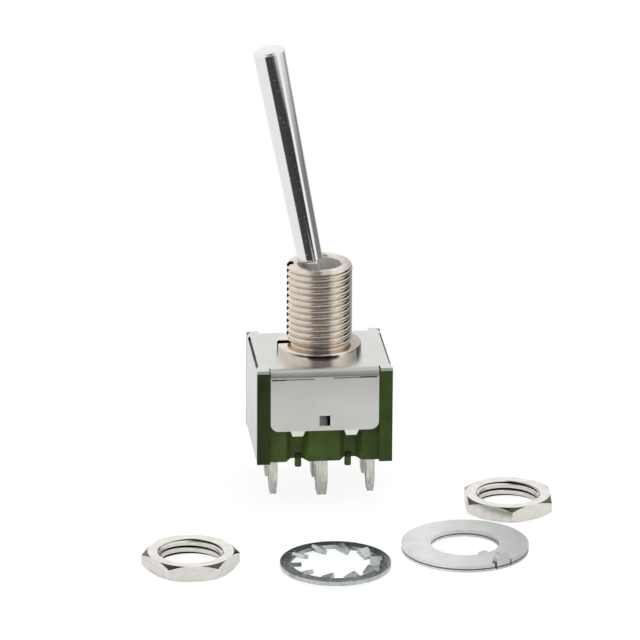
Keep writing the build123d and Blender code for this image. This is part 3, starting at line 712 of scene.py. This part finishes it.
class ToggleColours(PropertyGroup):
    """Base colours of the main finishes."""

    lever: FloatVectorProperty(
        name="Lever", description="Chrome plate", subtype="COLOR", size=4, default=hex_colour("#eceef0"))
    bushing: FloatVectorProperty(
        name="Bushing", description="Nickel plate on the bushing", subtype="COLOR", size=4,
        default=hex_colour("#f0e4d8"))
    cover: FloatVectorProperty(
        name="Cover", description="Stainless sheet", subtype="COLOR", size=4, default=hex_colour("#dfe0dc"))
    case: FloatVectorProperty(
        name="Case", description="Green moulding", subtype="COLOR", size=4, default=hex_colour("#556c34"))
    case_dark: FloatVectorProperty(
        name="Case, darker", description="Darker flow in the green moulding", subtype="COLOR", size=4,
        default=hex_colour("#465a24"))
    terminal: FloatVectorProperty(
        name="Terminals", description="Silver plate", subtype="COLOR", size=4, default=hex_colour("#f2f1ea"))
    nut: FloatVectorProperty(
        name="Nuts", description="Nickel plate on the nuts", subtype="COLOR", size=4,
        default=hex_colour("#f0ede6"))


# The pieces

class TOGGLE_OT_lever(Operator):
    """Turn the lever with a smooth mirror surface, rimmed flat end, shoulder and neck"""

    bl_idname = "toggle.lever"
    bl_label = "Lever"

    def execute(self, context):
        sizes = context.scene.toggle_sizes
        reach = sizes.lever_reach
        shank_radius, shank_end = 0.75, -7.4
        boss_radius, boss_half = 1.75, 1.1
        neck_radius, neck_top = 0.95, 4.68
        handle_radius, handle_start = 1.2, 4.85
        end_radius, rim, rim_steps = 1.5, 0.25, 4
        outline = [
            (0, shank_end), (shank_radius, shank_end), (shank_radius, -boss_half),
            (boss_radius, -boss_half), (boss_radius, boss_half), (neck_radius, boss_half),
            (neck_radius, neck_top), (handle_radius, handle_start),
        ]
        for step in range(rim_steps + 1):
            turn = step * pi / 2 / rim_steps
            outline.append((end_radius - rim + rim * cos(turn), reach - rim + rim * sin(turn)))
        outline.append((0, reach))
        bm = turned_bmesh(outline, 96)
        raised = Matrix.Translation((0, 0, sizes.pivot_height * MM))
        lean = Matrix.Rotation(-radians(sizes.lever_tilt), 4, "Y")
        bmesh.ops.transform(bm, matrix=raised @ lean, verts=bm.verts)
        piece = finish_object("lever_turned", bm, 28.0)
        finish = chrome_plated_brass(context.scene.toggle_colours)
        place_piece(piece, finish, "lever", "lever_chrome", "toggle_lever")
        return {"FINISHED"}


class TOGGLE_OT_bushing(Operator):
    """Turn the bushing, cut its thread and its keyway, and seat it in the cover"""

    bl_idname = "toggle.bushing"
    bl_label = "Threaded bushing"

    def execute(self, context):
        sizes = context.scene.toggle_sizes
        crest = sizes.thread_crest
        bore, neck, spigot, stake = 2.1, 2.85, 2.95, 3.4
        foot_points = [(bore, -1.5), (stake, -1.5), (stake, -1.2), (spigot, -1.2), (spigot, -0.9)]
        flange_points = [(4.05, -0.9), (4.05, -0.16), (4.03, -0.08), (3.97, -0.02), (3.9, 0.0)]
        barrel_points = [(neck, 0.0), (neck, 0.12), (crest, 0.45), (crest, 7.75), (crest - 0.25, 8.0),
                         (2.3, 8.0), (bore, 7.8)]
        outline = foot_points + flange_points + barrel_points
        piece = finish_object("bushing_turned", turned_bmesh(outline, sizes.turning_steps))
        groove_low, groove_high = 0.1, 7.9
        groove = thread_groove_bmesh(sizes.thread_root, crest, groove_low, groove_high, sizes.thread_pitch,
                                     sizes.turning_steps)
        cut(piece, groove)
        keyway = block_bmesh((-5.0, -0.45, -0.9), (-2.555, 0.45, 9.0))
        cut(piece, keyway)
        pin_slot = block_bmesh((-0.54, -2.65, -2.5), (0.54, 2.65, sizes.pivot_height))
        cut(piece, pin_slot)
        crisp(piece, 40.0)
        finish = nickel_plated_brass(context.scene.toggle_colours)
        place_piece(piece, finish, "switch_body", "bushing_nickel", "threaded_bushing")
        return {"FINISHED"}


class TOGGLE_OT_cover(Operator):
    """Finish the folded cover in rolled stainless sheet"""

    bl_idname = "toggle.cover"
    bl_label = "Cover"

    def execute(self, context):
        dress(["cover_frame"], rolled_stainless(context.scene.toggle_colours))
        return {"FINISHED"}


class TOGGLE_OT_case(Operator):
    """Finish the green moulded case and the epoxy round the terminals"""

    bl_idname = "toggle.case"
    bl_label = "Case"

    def execute(self, context):
        dress(["switch_case"], moulded_thermoset(context.scene.toggle_colours))
        dress(["terminal_seal"], poured_epoxy())
        return {"FINISHED"}


class TOGGLE_OT_terminals(Operator):
    """Finish the six solder lugs in silver plate"""

    bl_idname = "toggle.terminals"
    bl_label = "Terminals"

    def execute(self, context):
        lugs = [name for name in frame["nodes"] if name.startswith("terminal_") and name != "terminal_seal"]
        dress(lugs, silver_plated_brass(context.scene.toggle_colours))
        return {"FINISHED"}


class TOGGLE_OT_mechanism(Operator):
    """Finish the pin, block, springs, plungers, rockers and contacts inside the case"""

    bl_idname = "toggle.mechanism"
    bl_label = "Mechanism"

    def execute(self, context):
        names = list(frame["nodes"])
        dress(["lever_pin"], plain_metal("ground_steel", hex_colour("#c4c6c8"), 0.25))
        dress(["actuator_block"], moulded_nylon())
        plungers = [name for name in names if name.startswith("plunger_")]
        dress(plungers, plain_metal("polished_steel", hex_colour("#cfd1d3"), 0.16))
        wire = plain_metal("music_wire", hex_colour("#a4a7aa"), 0.3)
        for joint in frame["record"]["behaviour"]["joints"]:
            for entry in joint.get("deforming_nodes", []):
                self.coil(entry["node"], entry["fixed_end_z_m"], joint, wire, context.scene.toggle_sizes)
        dress(["rocker_front", "rocker_rear"], plain_metal("rolled_copper_alloy", hex_colour("#d29a70"), 0.3))
        pads = [name for name in names if name.startswith(("fixed_contact_", "rocker_contact_"))]
        dress(pads, plain_metal("fine_silver", hex_colour("#ecebe6"), 0.22))
        return {"FINISHED"}

    def coil(self, node, fixed_end, joint, wire, sizes):
        """A coil spring made from its CAD node's mesh and given the wire's finish."""
        bm = bmesh.new()
        bm.from_mesh(frame["nodes"][node].data)
        piece = finish_object(f"coil_{node}", bm, 40.0)
        place_piece(piece, wire, "lever", "spring_steel", node)
        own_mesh(piece)


def hex_nut_piece(name, place, turn, sizes):
    """A thin hex nut with chamfered corners and a cut thread, laid on the floor."""
    corner = sizes.nut_flats / sqrt(3)
    height = sizes.nut_height
    bm = bmesh.new()
    made = bmesh.ops.create_cone(bm, cap_ends=True, segments=6, radius1=corner * MM, radius2=corner * MM,
                                 depth=height * MM)
    first = made["verts"][0].co
    angle = Vector((first.x, first.y)).angle_signed(Vector((1, 0)))
    bmesh.ops.rotate(bm, cent=(0, 0, 0), matrix=Matrix.Rotation(angle, 3, "Z"), verts=bm.verts)
    bmesh.ops.translate(bm, vec=(0, 0, height / 2 * MM), verts=bm.verts)
    piece = finish_object(name, bm)

    # The turned solid that the hexagon is trimmed by: bore, its mouths and the corners' chamfers
    minor, mouth, mouth_depth = 2.86, 3.14, 0.24
    limit, past_corner, chamfer_depth = corner - 0.55, corner + 0.01, 0.32
    steps = 96
    outline = [
        (minor, mouth_depth), (mouth, 0.0), (limit, 0.0), (past_corner, chamfer_depth),
        (past_corner, height - chamfer_depth), (limit, height), (mouth, height),
        (minor, height - mouth_depth),
    ]
    cut(piece, turned_bmesh(outline, steps), "INTERSECT")
    pitch = sizes.thread_pitch
    major = 3.15
    cut(piece, thread_groove_bmesh(major, minor - 0.01, -pitch, height + pitch, pitch, steps))
    crisp(piece, 25.0)
    laid = Matrix.Translation((place[0] * MM, place[1] * MM, FLOOR_Z))
    piece.data.transform(laid @ Matrix.Rotation(radians(turn), 4, "Z"))
    return piece


class TOGGLE_OT_nuts(Operator):
    """Cut both hex nuts, with chamfered corners and threaded bores"""

    bl_idname = "toggle.nuts"
    bl_label = "Hex nuts"

    def execute(self, context):
        sizes = context.scene.toggle_sizes
        finish = bright_nickel_plate(context.scene.toggle_colours)
        left = hex_nut_piece("nut_cut_left", (-14.1, -20.5), -1.0, sizes)
        place_piece(left, finish, "switch_body", "nut_nickel", "hex_nut_left")
        right = hex_nut_piece("nut_cut_right", (17.45, -7.95), 28.0, sizes)
        place_piece(right, finish, "switch_body", "nut_nickel", "hex_nut_right")
        return {"FINISHED"}


class TOGGLE_OT_washers(Operator):
    """Finish the toothed lock washer and the keyed locking ring in zinc plate"""

    bl_idname = "toggle.washers"
    bl_label = "Washer and locking ring"

    def execute(self, context):
        dress(["lock_washer"], bright_zinc_plate())
        dress(["locking_ring"], matte_zinc_plate())
        return {"FINISHED"}


class TOGGLE_OT_stage(Operator):
    """Set the floor, the lamps, the surroundings and the camera"""

    bl_idname = "toggle.stage"
    bl_label = "Stage"

    def execute(self, context):
        self.make_floor()
        self.make_surroundings(context.scene)
        self.make_lamps()
        self.make_camera(context.scene)
        context.scene.view_settings.view_transform = "Standard"
        return {"FINISHED"}

    def make_floor(self):
        """A round white table that keeps a faint shadow."""
        table_radius = 0.0345
        table_middle = (0.002, -0.0085)
        table_drop = 0.00002
        bm = bmesh.new()
        bmesh.ops.create_circle(bm, cap_ends=True, segments=96, radius=table_radius)
        bmesh.ops.translate(bm, vec=(*table_middle, FLOOR_Z - table_drop), verts=bm.verts)
        floor = finish_object("floor", bm)
        material, tree, shader, _ = blank_material("white_table")
        shader.inputs["Base Color"].default_value = grey(0.9)
        shader.inputs["Roughness"].default_value = 0.6
        output = next(node for node in tree.nodes if node.type == "OUTPUT_MATERIAL")
        path = add_node(tree, "ShaderNodeLightPath")
        mirrored = add_node(tree, "ShaderNodeMath", PRODUCT, {1: 0.15}, {0: path.outputs["Is Glossy Ray"]})
        share = add_node(tree, "ShaderNodeMath", SUM_OF_PRODUCT, {1: 0.85},
                         {0: path.outputs["Is Camera Ray"], 2: mirrored.outputs[0]})
        white = add_node(tree, "ShaderNodeEmission", inputs={"Color": grey(1.0), "Strength": 1.06})
        mix = add_node(tree, "ShaderNodeMixShader",
                       links={0: share.outputs[0], 1: shader.outputs["BSDF"], 2: white.outputs[0]})
        tree.links.new(mix.outputs[0], output.inputs["Surface"])
        floor.data.materials.append(material)

    def make_surroundings(self, scene):
        """White all round for the camera, and a studio with dark gaps for what the metal mirrors."""
        world = bpy.data.worlds.new("studio")
        scene.world = world
        world.use_nodes = True
        tree = world.node_tree
        tree.nodes.clear()
        output = tree.nodes.new("ShaderNodeOutputWorld")
        mirror = add_node(tree, "ShaderNodeBackground", inputs={"Strength": 1.0},
                          links={"Color": self.mirrored_studio(tree)})
        plain = add_node(tree, "ShaderNodeBackground", inputs={"Color": grey(1.0), "Strength": 0.5})
        white = add_node(tree, "ShaderNodeBackground", inputs={"Color": grey(1.0), "Strength": 1.0})
        path = add_node(tree, "ShaderNodeLightPath")
        glossy = add_node(tree, "ShaderNodeMixShader",
                          links={0: path.outputs["Is Glossy Ray"], 1: plain.outputs[0], 2: mirror.outputs[0]})
        camera = add_node(tree, "ShaderNodeMixShader",
                          links={0: path.outputs["Is Camera Ray"], 1: glossy.outputs[0], 2: white.outputs[0]})
        tree.links.new(camera.outputs[0], output.inputs["Surface"])

    def mirrored_studio(self, tree):
        """The tones of a studio by direction: a low band, a middle band, the walls above and a roof."""
        direction = add_node(tree, "ShaderNodeTexCoord").outputs["Generated"]
        parts = add_node(tree, "ShaderNodeSeparateXYZ", links={"Vector": direction}).outputs
        front = add_node(tree, "ShaderNodeMath", PRODUCT, {1: -1.0}, {0: parts["Y"]})
        bearing = add_node(tree, "ShaderNodeMath", {"operation": "ARCTAN2"},
                           links={0: parts["X"], 1: front.outputs[0]})
        share = add_node(tree, "ShaderNodeMapRange", inputs={"From Min": -pi, "From Max": pi},
                         links={"Value": bearing.outputs[0]})
        bands = []
        for tones in (WALL_TONES, LOW_TONES):
            band = add_node(tree, "ShaderNodeValToRGB", links={"Fac": share.outputs["Result"]})
            set_ramp(band, centred_stops(180, grey_stops(tones)))
            bands.append(band.outputs["Color"])
        sideways = add_node(tree, "ShaderNodeMapRange",
                            inputs={"From Min": -ROOF_REACH, "From Max": ROOF_REACH},
                            links={"Value": parts["X"]})
        roof = add_node(tree, "ShaderNodeValToRGB", links={"Fac": sideways.outputs["Result"]})
        set_ramp(roof, centred_stops(ROOF_REACH, grey_stops(ROOF_TONES)))

        # Each layer covers the ones before it between two heights of the direction
        seen = bands[0]
        for start, full, tone in (
            (-0.1, 0.05, self.upper_wall(tree, parts)),
            (-0.24, -0.29, bands[1]),
            (0.74, 0.84, roof.outputs["Color"]),
        ):
            height = add_node(tree, "ShaderNodeMapRange", inputs={"From Min": start, "From Max": full},
                              links={"Value": parts["Z"]})
            layer = add_node(tree, "ShaderNodeMix", BLEND_COLOURS,
                             links={"Factor": height.outputs["Result"], "A": seen, "B": tone})
            seen = layer.outputs["Result"]
        return seen

    def upper_wall(self, tree, parts):
        """The wall above eye level: dim at the front, white at the back and the sides."""
        behind = add_node(tree, "ShaderNodeMapRange",
                          inputs={"From Min": -0.25, "From Max": 0.15, "To Min": 0.35, "To Max": 1.0},
                          links={"Value": parts["Y"]})
        aside = add_node(tree, "ShaderNodeMath", {"operation": "ABSOLUTE"}, links={0: parts["X"]})
        beside = add_node(tree, "ShaderNodeMapRange", inputs={"From Min": 0.35, "From Max": 0.5},
                          links={"Value": aside.outputs[0]})
        wall = add_node(tree, "ShaderNodeMath", {"operation": "MAXIMUM"},
                        links={0: behind.outputs["Result"], 1: beside.outputs["Result"]})
        return wall.outputs[0]

    def make_lamps(self):
        """A large soft lamp overhead and a smaller one from the left."""
        for name, place, size, power in (
            ("lamp_above", (0.05, 0.02, 0.32), 0.22, 0.45),
            ("lamp_left", (-0.28, -0.12, 0.16), 0.16, 0.2),
        ):
            data = bpy.data.lights.new(name, "AREA")
            data.shape = "DISK"
            data.size = size
            data.energy = power
            lamp = bpy.data.objects.new(name, data)
            lamp.visible_glossy = False
            aim = Vector(place).to_track_quat("Z", "Y").to_matrix().to_4x4()
            lamp.matrix_world = Matrix.Translation(place) @ aim
            bpy.context.scene.collection.objects.link(lamp)

    def make_camera(self, scene):
        """The photograph's view: its bearing, its height, its roll and its framing."""
        bearing = radians(-5.976)
        height = radians(19.400)
        roll = radians(0.339)
        distance = 0.6
        move_across, move_up = 0.000109, 0.001984
        back = Vector((sin(bearing) * cos(height), -cos(bearing) * cos(height), sin(height)))
        right = Vector((cos(bearing), sin(bearing), 0))
        up = back.cross(right)
        across = cos(roll) * right + sin(roll) * up
        upright = -sin(roll) * right + cos(roll) * up
        data = bpy.data.cameras.new("camera")
        data.sensor_width = SENSOR_WIDTH
        data.lens = FOCAL_PIXELS / PHOTO_PIXELS * SENSOR_WIDTH
        data.shift_x = SHIFT_PIXELS[0] / PHOTO_PIXELS
        data.shift_y = SHIFT_PIXELS[1] / PHOTO_PIXELS
        data.clip_start = 0.01
        data.clip_end = 10.0
        camera = bpy.data.objects.new("camera", data)
        turn = Matrix((across, upright, back)).transposed().to_4x4()
        place = move_across * across + move_up * upright + distance * back
        camera.matrix_world = Matrix.Translation(place) @ turn
        scene.collection.objects.link(camera)
        scene.camera = camera


class TOGGLE_PT_panel(Panel):
    """The pieces of the switch, one button each"""

    bl_label = "Toggle Switch"
    bl_idname = "TOGGLE_PT_panel"
    bl_space_type = "VIEW_3D"
    bl_region_type = "UI"
    bl_category = "Toggle Switch"

    def draw(self, context):
        for operator in OPERATORS:
            self.layout.operator(operator.bl_idname)
        for group in (context.scene.toggle_sizes, context.scene.toggle_colours):
            for name in group.__annotations__:
                self.layout.prop(group, name)


OPERATORS = (TOGGLE_OT_lever, TOGGLE_OT_bushing, TOGGLE_OT_cover, TOGGLE_OT_case, TOGGLE_OT_terminals,
             TOGGLE_OT_mechanism, TOGGLE_OT_nuts, TOGGLE_OT_washers, TOGGLE_OT_stage)
CLASSES = (ToggleSizes, ToggleColours, *OPERATORS, TOGGLE_PT_panel)


def register():
    """Register the classes and hang the settings on the scene."""
    for item in CLASSES:
        bpy.utils.register_class(item)
    bpy.types.Scene.toggle_sizes = PointerProperty(type=ToggleSizes)
    bpy.types.Scene.toggle_colours = PointerProperty(type=ToggleColours)


def unregister():
    """Take the settings and the classes away again."""
    del bpy.types.Scene.toggle_colours
    del bpy.types.Scene.toggle_sizes
    for item in reversed(CLASSES):
        bpy.utils.unregister_class(item)


def main():
    """Make every piece and set the stage."""
    register()
    bpy.ops.toggle.lever()
    bpy.ops.toggle.bushing()
    bpy.ops.toggle.cover()
    bpy.ops.toggle.case()
    bpy.ops.toggle.terminals()
    bpy.ops.toggle.mechanism()
    bpy.ops.toggle.nuts()
    bpy.ops.toggle.washers()
    bpy.ops.toggle.stage()


if __name__ == "__main__":
    main()
